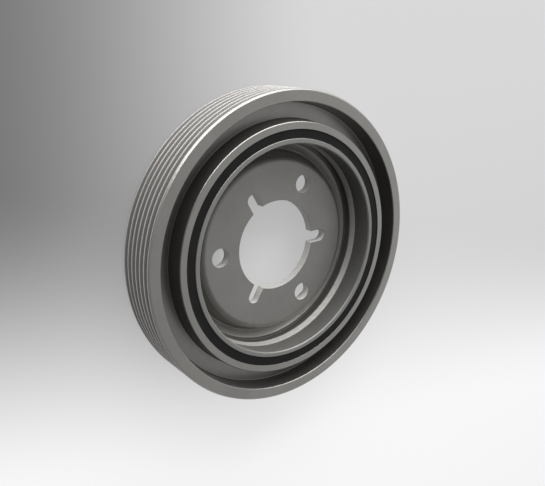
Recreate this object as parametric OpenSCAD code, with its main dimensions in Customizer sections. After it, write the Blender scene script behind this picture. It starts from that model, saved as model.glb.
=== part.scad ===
// Crankshaft pulley with a torsional vibration damper: a pressed steel hub, a bonded
// rubber ring and a cast U-section ring that carries a multi-groove belt track.
// The axis is Z and the front face is up. The origin is on the axis, at the rearmost plane.
// A section is drawn as [radius, depth behind the front face, rounding of that corner].

/* [Belt track] */
// Diameter over the groove crests
crest_d = 149; // [144:0.5:170]
// Number of grooves in the belt track
groove_count = 6; // [4:1:8]
// Distance between neighbouring grooves
groove_pitch = 3.56; // [3.2:0.01:4.7]
// Angle between the two flanks of a groove
groove_angle = 40; // [36:1:44]
// Width of the land between two grooves
crest_land = 0.9; // [0.6:0.05:1.3]
// Width of the bottom of a groove
root_land = 0.6; // [0.4:0.05:1]
// Rounding of the crests
crest_round = 0.2; // [0.1:0.05:0.3]
// Rounding at the bottom of a groove
root_round = 0.25; // [0.1:0.05:0.3]
// Width of the flat between the end chamfer and the first groove
end_land = 0.56; // [0.3:0.02:3]
// Axial length of the chamfer on both ends of the track
end_chamfer = 0.8; // [0.4:0.1:1.5]
// Radial drop of the chamfer on both ends of the track
end_drop = 0.65; // [0.3:0.05:1.2]

/* [Cast ring] */
// Thickness of the outer rim at the front face, from crest to channel wall
rim_wall = 5.7; // [5:0.1:7]
// Depth of the channel in the front face
channel_depth = 8.8; // [5:0.1:11]
// Draft of both channel walls
channel_draft = 4.4; // [1:0.1:6]
// Rounding along the channel floor
channel_round = 0.4; // [0.3:0.1:1.5]
// Thickness of the inner wall at the front face
inner_wall = 3.35; // [2.5:0.05:4.5]
// Edge break on the inner edges of the front face
ring_edge = 0.35; // [0.1:0.05:0.6]

/* [Rubber ring] */
// Radial thickness of the rubber
rubber_t = 4.2; // [3:0.1:6]
// How far the rubber lies behind the front face
rubber_inset = 0.3; // [0.1:0.1:1]
// Distance from the rear end of the rubber to the rear face of the cast ring
rubber_rear_gap = 4.2; // [1:0.1:6]
// Outward bow of the bond line, which keeps the ring from creeping off
bond_bow = 1.1; // [0.5:0.1:1.5]
// Length of the flat at the top of the bow
bow_land = 3; // [1:0.5:5]
// Length of the straight bond at each end of the rubber
bond_straight = 1; // [0.5:0.1:2]

/* [Hub cup] */
// Thickness of the cup's wall at the mouth of the bowl
cup_wall = 2.4; // [1.8:0.1:3]
// Edge break inside the mouth of the bowl
mouth_edge = 0.5; // [0.2:0.1:1]
// Edge break outside the mouth of the bowl
outer_edge = 0.2; // [0.1:0.05:0.4]
// Depth at which the bowl is widest
flare_depth = 10.7; // [8:0.1:11.5]
// How much wider the bowl is there than at its mouth and its lip
flare_w = 0.95; // [0.3:0.05:1.5]
// Length of the cone from the widest place of the bowl to its lip
cone_length = 3.3; // [2:0.1:4]
// Thickness of the lip
lip_t = 0.4; // [0.2:0.1:0.8]
// How far the relief behind the lip is cut into the wall
relief_cut = 0.75; // [0.3:0.05:1]
// Depth of the relief below the valley's edge
relief_drop = 0.8; // [0.3:0.1:1.2]
// Radial distance from the lip to the valley's edge
edge_step = 1.35; // [1:0.05:2]
// Height of the valley's edge above the valley
edge_h = 2.7; // [2:0.1:4]
// Width of the land on the valley's edge
edge_land = 0.5; // [0.3:0.05:0.8]
// Lean of the valley's outer wall
edge_lean = 35; // [0:1:40]
// Rounding of the valley's edge
edge_round = 0.2; // [0.1:0.05:0.3]
// Radial width of the valley, from the corner of the mounting web to the bowl's lip
valley_w = 8.15; // [7:0.05:12]
// Depth of the valley below the mounting web
valley_depth = 8.1; // [7:0.1:10]
// Bend between the valley's floor and its outer wall
valley_round = 1.8; // [0.5:0.1:3]
// Outside bend at the rear corner of the cup
rear_bend = 5; // [3:0.1:6]

/* [Mounting web] */
// Thickness of the sheet in the web and the valley
sheet_t = 4.2; // [3:0.1:6]
// Depth of the web behind the front face
web_depth = 12.2; // [10:0.1:16]
// Angle between the slope round the web and the axis
slope_angle = 20; // [10:1:30]
// Bend at the top of the slope
shoulder_round = 3; // [1.5:0.1:4]
// Inside bend at the foot of the slope
foot_round = 1.2; // [0.8:0.1:3]
// Inside bend at the rear of the web
back_round = 0.8; // [0.3:0.1:1.5]
// Diameter of the central bore
bore_d = 44; // [36:0.5:48]
// Width of the locating slots in the bore
slot_w = 6; // [4:0.5:8]
// Distance from the bore's wall to the end of a slot
slot_reach = 8.5; // [5:0.5:10]
// Number of locating slots, and of bolt holes between them
hole_count = 3; // [3:1:4]
// Diameter of the bolt circle
bolt_circle_d = 64.6; // [62:0.1:72]
// Diameter of the bolt holes
bolt_d = 9; // [7:0.1:11]
// Distance from a bolt hole's edge to the corner of the web
bolt_land = 5.3; // [4:0.1:8]

/* [Hidden] */
$fn = 180;

// A rounded corner takes one straight piece for each of these degrees.
bend_step = 7.5;
// A rounding takes at most this share of a wall that is rounded at its other end too.
bend_share = 0.49;
// What is cut off reaches this far past the face it starts from.
overrun = 1;

groove_open = groove_pitch - crest_land;
groove_depth = (groove_open - root_land) / 2 / tan(groove_angle / 2);
first_groove = end_chamfer + end_land + groove_open / 2;
ring_w = 2 * first_groove + (groove_count - 1) * groove_pitch;

crest_r = crest_d / 2;
root_r = crest_r - groove_depth;
bore_r = bore_d / 2;
bolt_r = bolt_d / 2;
bolt_circle_r = bolt_circle_d / 2;
slot_end_r = bore_r + slot_reach;

// The web's corner lies outside the bolt holes, and the bowl outside the web.
web_corner_r = bolt_circle_r + bolt_r + bolt_land;
bowl_r = web_corner_r + valley_w;
hub_r = bowl_r + cup_wall;
ring_bore_r = hub_r + rubber_t;
channel_in_r = ring_bore_r + inner_wall;
channel_out_r = crest_r - rim_wall;
channel_slope = channel_depth * tan(channel_draft);

lip_depth = flare_depth + cone_length;
web_back_depth = web_depth + sheet_t;
valley_bottom = web_depth + valley_depth;
edge_depth = valley_bottom - edge_h;
edge_r = bowl_r - edge_step;
relief_r = bowl_r + relief_cut;
relief_bottom = edge_depth + relief_drop;
hub_h = valley_bottom + sheet_t;
slope_run = valley_depth * tan(slope_angle);
sheet_run = sheet_t / cos(slope_angle);
full_h = max(hub_h, ring_w);

// The rubber ends before the cup's rear bend and before the rear face of the ring.
rubber_end = min(hub_h - rear_bend, ring_w - rubber_rear_gap);
bow_start = rubber_inset + bond_straight;
bow_end = rubber_end - bond_straight;
bow_centre = (bow_start + bow_end) / 2;

function unit(v) = v / norm(v);
function flat(p) = [p[0], p[1]];
function turned(a) = a > 180 ? a - 360 : (a < -180 ? a + 360 : a);

// Points of the corner p between the points a and b, rounded by p's third value.
function corner(a, p, b) =
    p[2] == 0 ? [flat(p)]
    : bend(flat(a) - flat(p), flat(p), flat(b) - flat(p), p[2], min(room(p, a), room(p, b)));

// How much of the wall from p to q a rounding at p may take: nearly all of it if q is sharp.
function room(p, q) = norm(flat(q) - flat(p)) * bend_share * (q[2] == 0 ? 2 : 1);

function bend(to_a, p, to_b, wanted, most) =
    let (u = unit(to_a), v = unit(to_b), half = acos(u * v) / 2)
    let (r = min(wanted, most * tan(half)))
    let (centre = p + unit(u + v) * r / sin(half))
    let (from = p + u * r / tan(half) - centre, to = p + v * r / tan(half) - centre)
    let (start = atan2(from[1], from[0]))
    let (sweep = turned(atan2(to[1], to[0]) - start))
    let (steps = max(2, ceil(abs(sweep) / bend_step)))
    [for (i = [0:steps]) centre + r * [cos(start + sweep * i / steps), sin(start + sweep * i / steps)]];

function rounded(points) =
    let (last = len(points) - 1)
    [for (i = [0:last], q = corner(points[i == 0 ? last : i - 1], points[i], points[i == last ? 0 : i + 1])) q];

// Turns a closed section round the axis, with depth measured down from the front face.
module turned_section(points) {
    rotate_extrude()
        polygon([for (q = rounded(points)) [q[0], full_h - q[1]]]);
}

// The bond line between two pieces, front to rear, at radius r on its straight stretches.
function bond_line(r) = [
    [r, bow_start, 0],
    [r + bond_bow, bow_centre - bow_land / 2, bow_land],
    [r + bond_bow, bow_centre + bow_land / 2, bow_land],
    [r, bow_end, 0]
];

function reversed(points) = [for (i = [len(points) - 1:-1:0]) points[i]];

// One V groove, front edge to rear edge, with its middle at the given depth.
function groove(middle) = [
    [crest_r, middle - groove_open / 2, crest_round],
    [root_r, middle - root_land / 2, root_round],
    [root_r, middle + root_land / 2, root_round],
    [crest_r, middle + groove_open / 2, crest_round]
];

// Deep-drawn cup: rim, flared bowl, lip with a relief behind it, valley and raised web.
hub_section = concat(
    [
        [bore_r, web_depth, 0],
        [web_corner_r, web_depth, shoulder_round],
        [web_corner_r + slope_run, valley_bottom, foot_round],
        [edge_r - edge_h * tan(edge_lean), valley_bottom, valley_round],
        [edge_r, edge_depth, edge_round],
        [edge_r + edge_land, edge_depth, edge_round],
        [edge_r + edge_land, relief_bottom, 0],
        [relief_r, relief_bottom, 0],
        [relief_r, lip_depth + lip_t, 0],
        [bowl_r, lip_depth, 0],
        [bowl_r + flare_w, flare_depth, 0],
        [bowl_r, mouth_edge, 0],
        [bowl_r + mouth_edge, 0, 0],
        [hub_r - outer_edge, 0, 0],
        [hub_r, outer_edge, 0]
    ],
    bond_line(hub_r),
    [
        [hub_r, hub_h, rear_bend],
        [web_corner_r + slope_run + sheet_t * tan(slope_angle) - sheet_run, hub_h, foot_round + sheet_t],
        [web_corner_r + sheet_t * tan(slope_angle) - sheet_run, web_back_depth, back_round],
        [bore_r, web_back_depth, 0]
    ]
);

rubber_section = concat(
    [[hub_r, rubber_inset, 0], [ring_bore_r, rubber_inset, 0]],
    bond_line(ring_bore_r),
    [[ring_bore_r, rubber_end, 0], [hub_r, rubber_end, 0]],
    reversed(bond_line(hub_r))
);

// U-section ring: inner wall, channel, grooved rim and a plain rear face.
ring_section = concat(
    [
        [ring_bore_r, 0, 0],
        [channel_in_r - ring_edge, 0, 0],
        [channel_in_r, ring_edge, 0],
        [channel_in_r + channel_slope, channel_depth, channel_round],
        [channel_out_r - channel_slope, channel_depth, channel_round],
        [channel_out_r, ring_edge, 0],
        [channel_out_r + ring_edge, 0, 0],
        [crest_r - end_drop, 0, 0],
        [crest_r, end_chamfer, 0]
    ],
    [for (i = [0:groove_count - 1], q = groove(first_groove + i * groove_pitch)) q],
    [
        [crest_r, ring_w - end_chamfer, 0],
        [crest_r - end_drop, ring_w, 0],
        [ring_bore_r + ring_edge, ring_w, 0],
        [ring_bore_r, ring_w - ring_edge, 0]
    ],
    reversed(bond_line(ring_bore_r))
);

// A straight slot with a round end, cut outwards from the bore along +X.
module slot_cut() {
    height = sheet_t + 2 * overrun;
    straight = slot_end_r - slot_w / 2;
    translate([0, -slot_w / 2, 0])
        cube([straight, slot_w, height]);
    translate([straight, 0, 0])
        cylinder(d = slot_w, h = height);
}

module bolt_cut() {
    translate([bolt_circle_r, 0, 0])
        cylinder(d = bolt_d, h = sheet_t + 2 * overrun);
}

module hub() {
    color([0.44, 0.44, 0.43])
        difference() {
            turned_section(hub_section);
            translate([0, 0, full_h - web_back_depth - overrun])
                for (i = [0:hole_count - 1]) {
                    rotate(i * 360 / hole_count)
                        slot_cut();
                    rotate((i + 0.5) * 360 / hole_count)
                        bolt_cut();
                }
        }
}

module rubber_ring() {
    color([0.09, 0.09, 0.09])
        turned_section(rubber_section);
}

module pulley_ring() {
    color([0.47, 0.47, 0.46])
        turned_section(ring_section);
}

hub();
rubber_ring();
pulley_ring();
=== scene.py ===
from math import asin, pi, radians, sqrt

import bmesh
import bpy
from mathutils import Matrix, Vector


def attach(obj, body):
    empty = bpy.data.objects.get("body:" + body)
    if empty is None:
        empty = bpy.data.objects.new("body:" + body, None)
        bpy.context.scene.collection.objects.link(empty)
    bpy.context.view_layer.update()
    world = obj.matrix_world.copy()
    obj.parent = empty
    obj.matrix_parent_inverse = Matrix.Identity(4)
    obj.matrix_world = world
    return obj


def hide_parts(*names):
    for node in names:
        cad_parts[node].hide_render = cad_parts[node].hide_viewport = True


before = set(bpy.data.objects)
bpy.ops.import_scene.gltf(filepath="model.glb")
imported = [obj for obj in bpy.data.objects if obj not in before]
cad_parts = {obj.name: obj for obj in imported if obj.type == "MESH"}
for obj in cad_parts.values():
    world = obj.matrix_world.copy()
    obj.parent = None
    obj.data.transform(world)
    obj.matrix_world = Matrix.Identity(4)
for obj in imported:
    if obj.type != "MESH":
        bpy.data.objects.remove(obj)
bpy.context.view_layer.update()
scene = bpy.context.scene

# Pressed hub. One deep-drawn steel cup with a flared bowl, a lip with a relief behind it, a valley and
# a raised web that three screws hold to the crankshaft. It is phosphated, and bare where the cuts are
# punched and where the cone over the lip is turned. The valley's outer wall is painted lighter, as
# painted light that lifts the shade in the valley.
MM = 0.001
HUB_HEIGHT = 24.5
CUP_R = 52.65
BOWL_R = 50.25
LIP_R = 50.25
LIP_DEPTH = 14.00
CONE_R = 51.20
CONE_DEPTH = 10.70
RELIEF_R = 51.00
RELIEF_FLOOR = 18.40
EDGE_R = 49.40
EDGE_DEPTH = 17.60
VALLEY_R = 46.20
VALLEY_FLOOR = 20.30
WEB_R = 39.00
WEB_DEPTH = 12.20
WEB_SHEET = 4.20
BORE_R = 22.0
SLOT_HALF = 3.0
SLOT_CENTRE = 27.5
BOLT_R = 4.5
BOLT_CIRCLE_R = 32.3
CUT_ROUND = 0.12

# The bond line bows outwards. Its points are steps out from the bonded radius, not radii.
BOND_STEPS = [
    (0.00, 1.30, 0.40),
    (1.10, 8.14, 1.20),
    (1.10, 11.14, 1.20),
    (0.00, 17.98, 0.40),
]


def bond_line(bonded_r):
    return [(bonded_r + step, depth, reach) for step, depth, reach in BOND_STEPS]


# Each corner of a section has its radius, its depth behind the front face and the reach of its
# rounding, all in mm.
HUB_SECTION = [
    (WEB_R, WEB_DEPTH, 0.00),
    (42.10, WEB_DEPTH, 2.10),
    (45.05, VALLEY_FLOOR, 0.84),
    (VALLEY_R, VALLEY_FLOOR, 0.50),
    (EDGE_R, EDGE_DEPTH, 0.30),
    (EDGE_R, RELIEF_FLOOR, 0.10),
    (RELIEF_R, RELIEF_FLOOR, 0.30),
    (RELIEF_R, 14.40, 0.10),
    (LIP_R, LIP_DEPTH, 0.12),
    (CONE_R, CONE_DEPTH, 0.30),
    (BOWL_R, 0.50, 0.14),
    (50.75, 0.00, 0.14),
    (52.45, 0.00, 0.08),
    (CUP_R, 0.20, 0.08),
    *bond_line(CUP_R),
    (CUP_R, HUB_HEIGHT, 5.00),
    (42.11, HUB_HEIGHT, 3.78),
    (39.16, WEB_DEPTH + WEB_SHEET, 0.56),
    (38.00, WEB_DEPTH + WEB_SHEET, 0.00),
]

TURN_STEPS = 288
WIDE_ROUND = 0.8
WIDE_SEGMENTS = 10
NARROW_SEGMENTS = 4
TOUCHING = 0.0002 * MM
LEVEL = 0.001 * MM


def turn_section(section):
    blank = bmesh.new()
    corners = [
        blank.verts.new((radius * MM, 0, (HUB_HEIGHT - depth) * MM)) for radius, depth, _ in section
    ]
    blank.faces.new(corners)
    for corner, (_, _, reach) in zip(corners, section):
        if reach:
            bmesh.ops.bevel(
                blank,
                geom=[corner],
                offset=reach * MM,
                offset_type="OFFSET",
                affect="VERTICES",
                segments=WIDE_SEGMENTS if reach > WIDE_ROUND else NARROW_SEGMENTS,
                profile=0.5,
                material=-1,
            )
    bmesh.ops.delete(blank, geom=blank.faces[:], context="FACES_ONLY")
    bmesh.ops.spin(
        blank,
        geom=blank.verts[:] + blank.edges[:],
        cent=(0, 0, 0),
        axis=(0, 0, 1),
        angle=2 * pi,
        steps=TURN_STEPS,
        use_merge=True,
    )
    return blank


def finish_piece(blank, name):
    bmesh.ops.remove_doubles(blank, verts=blank.verts[:], dist=TOUCHING)
    bmesh.ops.recalc_face_normals(blank, faces=blank.faces[:])
    mesh = bpy.data.meshes.new(name)
    blank.to_mesh(mesh)
    blank.free()
    mesh.shade_smooth()
    piece = bpy.data.objects.new(name, mesh)
    scene.collection.objects.link(piece)
    even = piece.modifiers.new("even_faces", "WEIGHTED_NORMAL")
    even.mode = "FACE_AREA"
    even.weight = 80
    even.keep_sharp = True
    return piece


SLOT_STEPS = 32
BORE_STEPS = 42
HOLE_STEPS = 72
web_front = (HUB_HEIGHT - WEB_DEPTH) * MM
web_back = web_front - WEB_SHEET * MM
slot_mouth = sqrt(BORE_R ** 2 - SLOT_HALF ** 2)
bore_sweep = pi / 3 - asin(SLOT_HALF / BORE_R)
cup = bmesh.new()


def sweep_point(point, centre, angle, steps):
    swept = bmesh.ops.spin(
        cup, geom=[point], cent=centre, axis=(0, 0, 1), angle=angle, steps=steps
    )
    return swept["geom_last"][0]


# A slot and the arcs beside it are a third of the bore's outline, which is then repeated.
mouth = cup.verts.new((slot_mouth * MM, SLOT_HALF * MM, web_front))
bend = cup.verts.new((SLOT_CENTRE * MM, SLOT_HALF * MM, web_front))
cup.edges.new((mouth, bend))
far_bend = sweep_point(bend, (SLOT_CENTRE * MM, 0, web_front), -pi, SLOT_STEPS)
far_mouth = cup.verts.new((slot_mouth * MM, -SLOT_HALF * MM, web_front))
cup.edges.new((far_bend, far_mouth))
sweep_point(mouth, (0, 0, web_front), bore_sweep, BORE_STEPS)
sweep_point(far_mouth, (0, 0, web_front), -bore_sweep, BORE_STEPS)
bmesh.ops.spin(
    cup,
    geom=cup.verts[:] + cup.edges[:],
    cent=(0, 0, 0),
    axis=(0, 0, 1),
    angle=4 * pi / 3,
    steps=2,
    use_duplicate=True,
)
bmesh.ops.remove_doubles(cup, verts=cup.verts[:], dist=LEVEL)
for degrees in (60, 180, 300):
    place = Matrix.Rotation(radians(degrees), 4, "Z") @ Matrix.Translation(
        (BOLT_CIRCLE_R * MM, 0, web_front)
    )
    bmesh.ops.create_circle(
        cup, cap_ends=False, radius=BOLT_R * MM, segments=HOLE_STEPS, matrix=place
    )
cut_edges = cup.edges[:]


def on_level(point, level):
    return abs(point.co.z - level) < LEVEL


def lies_flat(item, level):
    return all(on_level(point, level) for point in item.verts)


# The wall that closes the section where the web begins is taken out, and the web is filled in.
wall = turn_section(HUB_SECTION)
closing_wall = [
    face
    for face in wall.faces
    if any(on_level(point, web_front) for point in face.verts)
    and any(on_level(point, web_back) for point in face.verts)
]
bmesh.ops.delete(wall, geom=closing_wall, context="FACES")
shell = bpy.data.meshes.new("hub_shell")
wall.to_mesh(shell)
wall.free()
cup.from_mesh(shell)
bpy.data.meshes.remove(shell)


def fill_web(level, facing):
    rims = [edge for edge in cup.edges if len(edge.link_faces) < 2 and lies_flat(edge, level)]
    bmesh.ops.triangle_fill(cup, edges=rims, normal=(0, 0, facing))


fill_web(web_front, 1)
cuts = bmesh.ops.extrude_edge_only(cup, edges=cut_edges)
lower = [item for item in cuts["geom"] if isinstance(item, bmesh.types.BMVert)]
bmesh.ops.translate(cup, verts=lower, vec=(0, 0, -WEB_SHEET * MM))
fill_web(web_back, -1)
bmesh.ops.remove_doubles(cup, verts=cup.verts[:], dist=TOUCHING)
bmesh.ops.recalc_face_normals(cup, faces=cup.faces[:])
cut_rims = [
    edge
    for edge in cup.edges
    if edge.calc_face_angle(0) > radians(60)
    and (lies_flat(edge, web_front) or lies_flat(edge, web_back))
]
bmesh.ops.bevel(
    cup,
    geom=cut_rims,
    offset=CUT_ROUND * MM,
    offset_type="OFFSET",
    affect="EDGES",
    segments=3,
    profile=0.5,
    material=-1,
)

# The rounding stretches the web's long triangles, so both flats are filled again.
for level, facing in ((web_front, 1), (web_back, -1)):
    stretched = [
        face
        for face in cup.faces
        if lies_flat(face, level)
        and all(point.co.xy.length < WEB_R * MM + LEVEL for point in face.verts)
    ]
    bmesh.ops.delete(cup, geom=stretched, context="FACES")
    fill_web(level, facing)

FLAT = 0.9999
hub = finish_piece(cup, "pressed_hub")
for face in hub.data.polygons:
    if abs(face.normal.z) > FLAT and face.center.xy.length < WEB_R * MM:
        face.use_smooth = False


def start_finish(name, colour, metallic, roughness):
    material = bpy.data.materials.new(name)
    material.use_nodes = True
    nodes = material.node_tree.nodes
    surface = nodes["Principled BSDF"]
    surface.inputs["Base Color"].default_value = (*colour, 1)
    surface.inputs["Metallic"].default_value = metallic
    surface.inputs["Roughness"].default_value = roughness
    place = nodes.new("ShaderNodeTexCoord").outputs["Object"]
    return material, surface, place


def add_noise(material, place, scale, detail):
    noise = material.node_tree.nodes.new("ShaderNodeTexNoise")
    noise.inputs["Scale"].default_value = scale
    noise.inputs["Detail"].default_value = detail
    noise.inputs["Roughness"].default_value = 0.6
    material.node_tree.links.new(place, noise.inputs["Vector"])
    return noise.outputs["Fac"]


def spread(material, source, low, high):
    levels = material.node_tree.nodes.new("ShaderNodeMapRange")
    levels.inputs["From Min"].default_value = 0.3
    levels.inputs["From Max"].default_value = 0.7
    levels.inputs["To Min"].default_value = low
    levels.inputs["To Max"].default_value = high
    material.node_tree.links.new(source, levels.inputs["Value"])
    return levels.outputs["Result"]


def blend(material, source, dark, light):
    mix = material.node_tree.nodes.new("ShaderNodeMix")
    mix.data_type = "RGBA"
    mix.inputs["A"].default_value = (*dark, 1)
    mix.inputs["B"].default_value = (*light, 1)
    material.node_tree.links.new(source, mix.inputs["Factor"])
    return mix.outputs["Result"]


def mottle(material, surface, source, dark, light):
    shade = blend(material, spread(material, source, 0, 1), dark, light)
    material.node_tree.links.new(shade, surface.inputs["Base Color"])


def vary_sheen(material, surface, source, smoothest, roughest):
    sheen = spread(material, source, smoothest, roughest)
    material.node_tree.links.new(sheen, surface.inputs["Roughness"])


def add_bump(material, surface, source, distance, strength, below=None):
    bump = material.node_tree.nodes.new("ShaderNodeBump")
    bump.inputs["Distance"].default_value = distance
    bump.inputs["Strength"].default_value = strength
    material.node_tree.links.new(source, bump.inputs["Height"])
    if below:
        material.node_tree.links.new(below, bump.inputs["Normal"])
    material.node_tree.links.new(bump.outputs["Normal"], surface.inputs["Normal"])
    return bump.outputs["Normal"]


phosphate, surface, place = start_finish("satin_phosphate", (0.214, 0.211, 0.202), 0.82, 0.54)
cloud = add_noise(phosphate, place, scale=70, detail=3)
grain = add_noise(phosphate, place, scale=1600, detail=2)
mottle(phosphate, surface, cloud, (0.203, 0.200, 0.191), (0.225, 0.222, 0.213))
vary_sheen(phosphate, surface, grain, 0.50, 0.58)
add_bump(phosphate, surface, grain, distance=0.00003, strength=0.35)
hub.data.materials.append(phosphate)

for name, dark, light, metallic in (
    ("punched_wall_steel", (0.46, 0.45, 0.43), (0.54, 0.53, 0.51), 0.15),
    ("bare_turned_steel", (0.52, 0.50, 0.48), (0.62, 0.60, 0.57), 0.62),
    # Painted light: this lighter finish lifts the shade on the valley's outer wall.
    ("valley_painted_light_steel", (0.34, 0.33, 0.31), (0.40, 0.39, 0.37), 0.62),
):
    bare_and_painted_light, surface, place = start_finish(name, light, metallic, 0.42)
    scratches = add_noise(bare_and_painted_light, place, scale=900, detail=3)
    mottle(bare_and_painted_light, surface, scratches, dark, light)
    vary_sheen(bare_and_painted_light, surface, scratches, 0.36, 0.46)
    add_bump(bare_and_painted_light, surface, scratches, distance=0.00002, strength=0.3)
    hub.data.materials.append(bare_and_painted_light)

PHOSPHATED, PUNCHED, TURNED, VALLEY_PAINTED_LIGHT = range(4)
# The painted light on the valley's outer wall starts at this radius.
PAINTED_LIGHT_R = 46.40
INSET = 0.1
UPRIGHT = 0.5


def reach_and_depth(face):
    return face.center.xy.length / MM, HUB_HEIGHT - face.center.z / MM


for face in hub.data.polygons:
    reach, depth = reach_and_depth(face)
    if reach < WEB_R and abs(face.normal.z) < UPRIGHT:
        face.material_index = PUNCHED
    elif LIP_R < reach < CONE_R and CONE_DEPTH + INSET < depth < LIP_DEPTH - INSET:
        face.material_index = TURNED
    # The valley's outer wall takes the painted light.
    elif PAINTED_LIGHT_R < reach < EDGE_R - INSET and depth < VALLEY_FLOOR + INSET:
        face.material_index = VALLEY_PAINTED_LIGHT
    else:
        face.material_index = PHOSPHATED
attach(hub, "root")
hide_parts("hub")

# Damper rubber. One moulded ring, bonded to the cup inside it and to the cast ring round it, so
# that the two can twist a little. It bows outwards halfway, and its front lies just behind the rims.
RUBBER_SHEET = 4.20
RING_BORE_R = CUP_R + RUBBER_SHEET
RUBBER_FRONT = 0.32
RUBBER_BACK = 18.98

RUBBER_SECTION = [
    (CUP_R, 0.22, 0.00),
    (53.10, RUBBER_FRONT, 0.30),
    (56.40, RUBBER_FRONT, 0.30),
    (RING_BORE_R, 0.22, 0.00),
    *bond_line(RING_BORE_R),
    (RING_BORE_R, RUBBER_BACK, 0.20),
    (CUP_R, RUBBER_BACK, 0.20),
    *reversed(bond_line(CUP_R)),
]
damper = finish_piece(turn_section(RUBBER_SECTION), "damper_rubber_ring")

rubber, surface, place = start_finish("moulded_rubber", (0.008, 0.008, 0.008), 0, 0.8)
surface.inputs["Specular IOR Level"].default_value = 0.15
cloud = add_noise(rubber, place, scale=120, detail=4)
pores = add_noise(rubber, place, scale=2200, detail=2)
mottle(rubber, surface, cloud, (0.007, 0.007, 0.007), (0.010, 0.010, 0.010))
vary_sheen(rubber, surface, pores, 0.72, 0.86)
add_bump(rubber, surface, pores, distance=0.00004, strength=0.5)
damper.data.materials.append(rubber)
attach(damper, "root")
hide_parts("rubber_ring")

# Cast inertia ring. One grey-iron casting of U section, turned all over, so that it has fine tool
# rings, and satin grey. Its channel is painted darker, as painted shade in the recess. The six grooves
# are painted lighter against the shade in them, and the crests between them carry a painted highlight.
CREST_R = 74.50
ROOT_R = 71.67
RING_WIDTH = 23.18
CHANNEL_IN_R = 60.20
CHANNEL_OUT_R = 68.80
CHANNEL_DEPTH = 8.80
BORE_CHAMFER = 0.35
END_CHAMFER = 0.80
END_R = 73.85
GROOVE_PITCH = 3.56
GROOVE_HALF = 1.33
ROOT_HALF = 0.30
FIRST_GROOVE = 2.69

RING_FRONT = [
    (RING_BORE_R, 0.00, 0.08),
    (59.85, 0.00, 0.12),
    (CHANNEL_IN_R, 0.35, 0.12),
    (60.88, CHANNEL_DEPTH, 0.37),
    (68.12, CHANNEL_DEPTH, 0.37),
    (CHANNEL_OUT_R, 0.35, 0.12),
    (69.15, 0.00, 0.12),
    (END_R, 0.00, 0.16),
    (CREST_R, END_CHAMFER, 0.12),
]
RING_BACK = [
    (CREST_R, RING_WIDTH - END_CHAMFER, 0.12),
    (END_R, RING_WIDTH, 0.16),
    (RING_BORE_R + BORE_CHAMFER, RING_WIDTH, 0.10),
    (RING_BORE_R, RING_WIDTH - BORE_CHAMFER, 0.10),
    *reversed(bond_line(RING_BORE_R)),
]
belt_track = []
for number in range(6):
    middle = FIRST_GROOVE + number * GROOVE_PITCH
    belt_track += [
        (CREST_R, middle - GROOVE_HALF, 0.15),
        (ROOT_R, middle - ROOT_HALF, 0.16),
        (ROOT_R, middle + ROOT_HALF, 0.16),
        (CREST_R, middle + GROOVE_HALF, 0.15),
    ]
ring = finish_piece(turn_section(RING_FRONT + belt_track + RING_BACK), "grooved_ring")


def turning_marks(material, place):
    nodes, links = material.node_tree.nodes, material.node_tree.links
    across = nodes.new("ShaderNodeVectorMath")
    across.operation = "MULTIPLY"
    across.inputs[1].default_value = (1, 1, 0)
    links.new(place, across.inputs[0])
    radius = nodes.new("ShaderNodeVectorMath")
    radius.operation = "LENGTH"
    links.new(across.outputs["Vector"], radius.inputs[0])
    along = nodes.new("ShaderNodeSeparateXYZ")
    links.new(place, along.inputs[0])
    feed = nodes.new("ShaderNodeMath")
    feed.operation = "ADD"
    links.new(radius.outputs["Value"], feed.inputs[0])
    links.new(along.outputs["Z"], feed.inputs[1])
    rings = nodes.new("ShaderNodeTexNoise")
    rings.noise_dimensions = "1D"
    rings.inputs["Scale"].default_value = 5200
    rings.inputs["Detail"].default_value = 2
    links.new(feed.outputs["Value"], rings.inputs["W"])
    return rings.outputs["Fac"]


for name, dark, light in (
    ("satin_turned_iron", (0.210, 0.205, 0.195), (0.233, 0.228, 0.217)),
    # The channel's darker iron is painted shade.
    ("channel_painted_shade_iron", (0.172, 0.168, 0.160), (0.192, 0.188, 0.179)),
):
    iron, surface, place = start_finish(name, dark, 0.92, 0.36)
    tool_rings = turning_marks(iron, place)
    cloud = add_noise(iron, place, scale=60, detail=3)
    grain = add_noise(iron, place, scale=1500, detail=2)
    mottle(iron, surface, cloud, dark, light)
    vary_sheen(iron, surface, grain, 0.33, 0.40)
    ringed = add_bump(iron, surface, tool_rings, distance=0.00002, strength=0.25)
    add_bump(iron, surface, grain, distance=0.00002, strength=0.25, below=ringed)
    ring.data.materials.append(iron)

for name, dark, light, metallic, smoothest, roughest in (
    # Painted light: lighter iron lifts the shade in the grooves.
    ("groove_painted_light_iron", (0.28, 0.27, 0.26), (0.32, 0.31, 0.30), 0.65, 0.33, 0.40),
    # Painted highlight: bright, less metallic iron along the crests.
    ("crest_painted_highlight_iron", (0.46, 0.45, 0.43), (0.50, 0.49, 0.47), 0.2, 0.36, 0.46),
):
    ring_painted_light, surface, place = start_finish(name, light, metallic, roughest)
    streaks = turning_marks(ring_painted_light, place)
    mottle(ring_painted_light, surface, streaks, dark, light)
    vary_sheen(ring_painted_light, surface, streaks, smoothest, roughest)
    ring.data.materials.append(ring_painted_light)

SATIN, CHANNEL_PAINTED_SHADE, GROOVE_PAINTED_LIGHT, CREST_PAINTED_HIGHLIGHT = range(4)
SKIN = 0.05
END_FACE = 0.96
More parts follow.
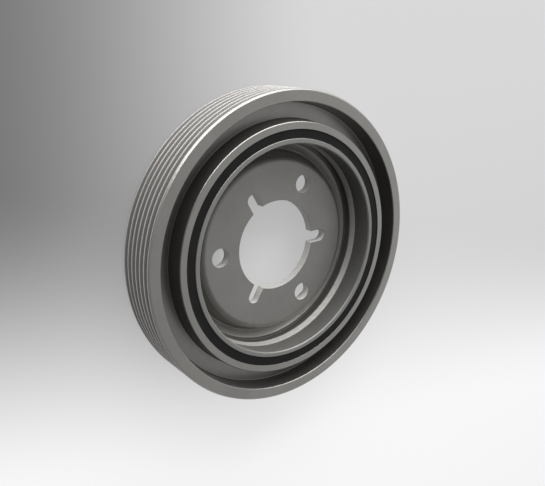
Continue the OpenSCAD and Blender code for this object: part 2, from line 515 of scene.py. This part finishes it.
# Crests take the painted highlight, groove flanks the painted light and the channel the painted shade.
for face in ring.data.polygons:
    reach, depth = reach_and_depth(face)
    if reach > CREST_R - SKIN:
        face.material_index = CREST_PAINTED_HIGHLIGHT
    elif reach > ROOT_R - SKIN and abs(face.normal.z) < END_FACE:
        face.material_index = GROOVE_PAINTED_LIGHT
    elif CHANNEL_IN_R - SKIN < reach < CHANNEL_OUT_R + SKIN and depth < CHANNEL_DEPTH + SKIN:
        face.material_index = CHANNEL_PAINTED_SHADE
    else:
        face.material_index = SATIN
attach(ring, "root")
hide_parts("pulley_ring")

# Studio floor. A wide pale matt sheet that the part lies on. The fall of light across it is painted
# into its colour, from mid grey at the upper left to nearly white on the right and below, and about
# two thirds of what the camera sees is its own even light, so that its grey stays the same in the
# part's shade.
FLOOR_SIZE = 4
FLOOR_PAINTED_SHADE = (0.16, 0.16, 0.16)
OWN_LIGHT = 0.66

floor_mesh = bmesh.new()
bmesh.ops.create_grid(floor_mesh, x_segments=1, y_segments=1, size=FLOOR_SIZE)
sheet = bpy.data.meshes.new("studio_floor")
floor_mesh.to_mesh(sheet)
floor_mesh.free()
floor = bpy.data.objects.new("studio_floor", sheet)
scene.collection.objects.link(floor)

paper, surface, place = start_finish("pale_floor", (0.62, 0.62, 0.62), 0, 0.8)
surface.inputs["Specular IOR Level"].default_value = 0.2
nodes, links = paper.node_tree.nodes, paper.node_tree.links
painted_falloff = None
# Two crossing fades paint the fall of studio light across the sheet.
for direction, start, end, level in (
    ((1.0, -0.08, 0), -0.150, 0.036, 0.65),
    ((-0.217, -0.976, 0), -0.018, 0.122, 0.97),
):
    where = nodes.new("ShaderNodeVectorMath")
    where.operation = "DOT_PRODUCT"
    where.inputs[1].default_value = direction
    links.new(place, where.inputs[0])
    fade = nodes.new("ShaderNodeMapRange")
    fade.interpolation_type = "SMOOTHSTEP"
    fade.inputs["From Min"].default_value = start
    fade.inputs["From Max"].default_value = end
    links.new(where.outputs["Value"], fade.inputs["Value"])
    grey = blend(paper, fade.outputs["Result"], FLOOR_PAINTED_SHADE, (level, level, level))
    if painted_falloff:
        links.new(painted_falloff, grey.node.inputs["A"])
    painted_falloff = grey
links.new(painted_falloff, surface.inputs["Base Color"])
glow = nodes.new("ShaderNodeEmission")
links.new(painted_falloff, glow.inputs["Color"])
seen = nodes.new("ShaderNodeLightPath")
rays = seen.outputs["Is Camera Ray"]
for kind in ("Is Glossy Ray", "Is Transmission Ray"):
    either = nodes.new("ShaderNodeMath")
    either.operation = "MAXIMUM"
    links.new(rays, either.inputs[0])
    links.new(seen.outputs[kind], either.inputs[1])
    rays = either.outputs["Value"]
share = nodes.new("ShaderNodeMath")
share.operation = "MULTIPLY"
share.inputs[1].default_value = OWN_LIGHT
links.new(rays, share.inputs[0])
both = nodes.new("ShaderNodeMixShader")
links.new(share.outputs["Value"], both.inputs["Fac"])
links.new(surface.outputs["BSDF"], both.inputs[1])
links.new(glow.outputs["Emission"], both.inputs[2])
links.new(both.outputs["Shader"], nodes["Material Output"].inputs["Surface"])
floor.data.materials.append(paper)

# Studio light. A pale surround lights the part evenly and is brighter on the right. One long soft
# lamp stands low behind the part and brings out its rims.
LAMP_DISTANCE = 1.1

world = bpy.data.worlds.new("surround")
scene.world = world
world.use_nodes = True
nodes, links = world.node_tree.nodes, world.node_tree.links
sideways = nodes.new("ShaderNodeSeparateXYZ")
links.new(nodes.new("ShaderNodeTexCoord").outputs["Generated"], sideways.inputs[0])
rise = nodes.new("ShaderNodeMapRange")
rise.interpolation_type = "SMOOTHSTEP"
rise.inputs["From Min"].default_value = -0.3
rise.inputs["From Max"].default_value = 0.85
rise.inputs["To Min"].default_value = 0.21
rise.inputs["To Max"].default_value = 1.12
links.new(sideways.outputs["X"], rise.inputs["Value"])
links.new(rise.outputs["Result"], nodes["Background"].inputs["Strength"])
nodes["Background"].inputs["Color"].default_value = (1, 1, 1, 1)

lamp = bpy.data.lights.new("long_lamp", "AREA")
lamp.shape = "RECTANGLE"
lamp.size = 2.2
lamp.size_y = 0.7
lamp.energy = 31
stand = bpy.data.objects.new("long_lamp", lamp)
scene.collection.objects.link(stand)
towards = Vector((0.03, 0.94, 0.34)).normalized()
stand.location = towards * LAMP_DISTANCE
stand.rotation_euler = towards.to_track_quat("Z", "Y").to_euler()

# Camera. It looks down on the lying part from the place and with the lens that a fit of the front
# face's circles and the groove crests in the photograph gives.
camera_data = bpy.data.cameras.new("photo_camera")
camera_data.sensor_width = 36
camera_data.lens = 41.90
camera_data.clip_start = 0.01
camera_data.clip_end = 50
camera = bpy.data.objects.new("photo_camera", camera_data)
scene.collection.objects.link(camera)
camera.matrix_world = Matrix(
    (
        (0.79414, 0.18407, -0.57919, -0.17910),
        (0.00000, 0.95303, 0.30288, 0.09380),
        (0.60773, -0.24053, 0.75684, 0.24290),
        (0.0, 0.0, 0.0, 1.0),
    )
)
scene.camera = camera
scene.view_settings.view_transform = "Standard"

# Scene update. The view layer is brought up to date.
bpy.context.view_layer.update()
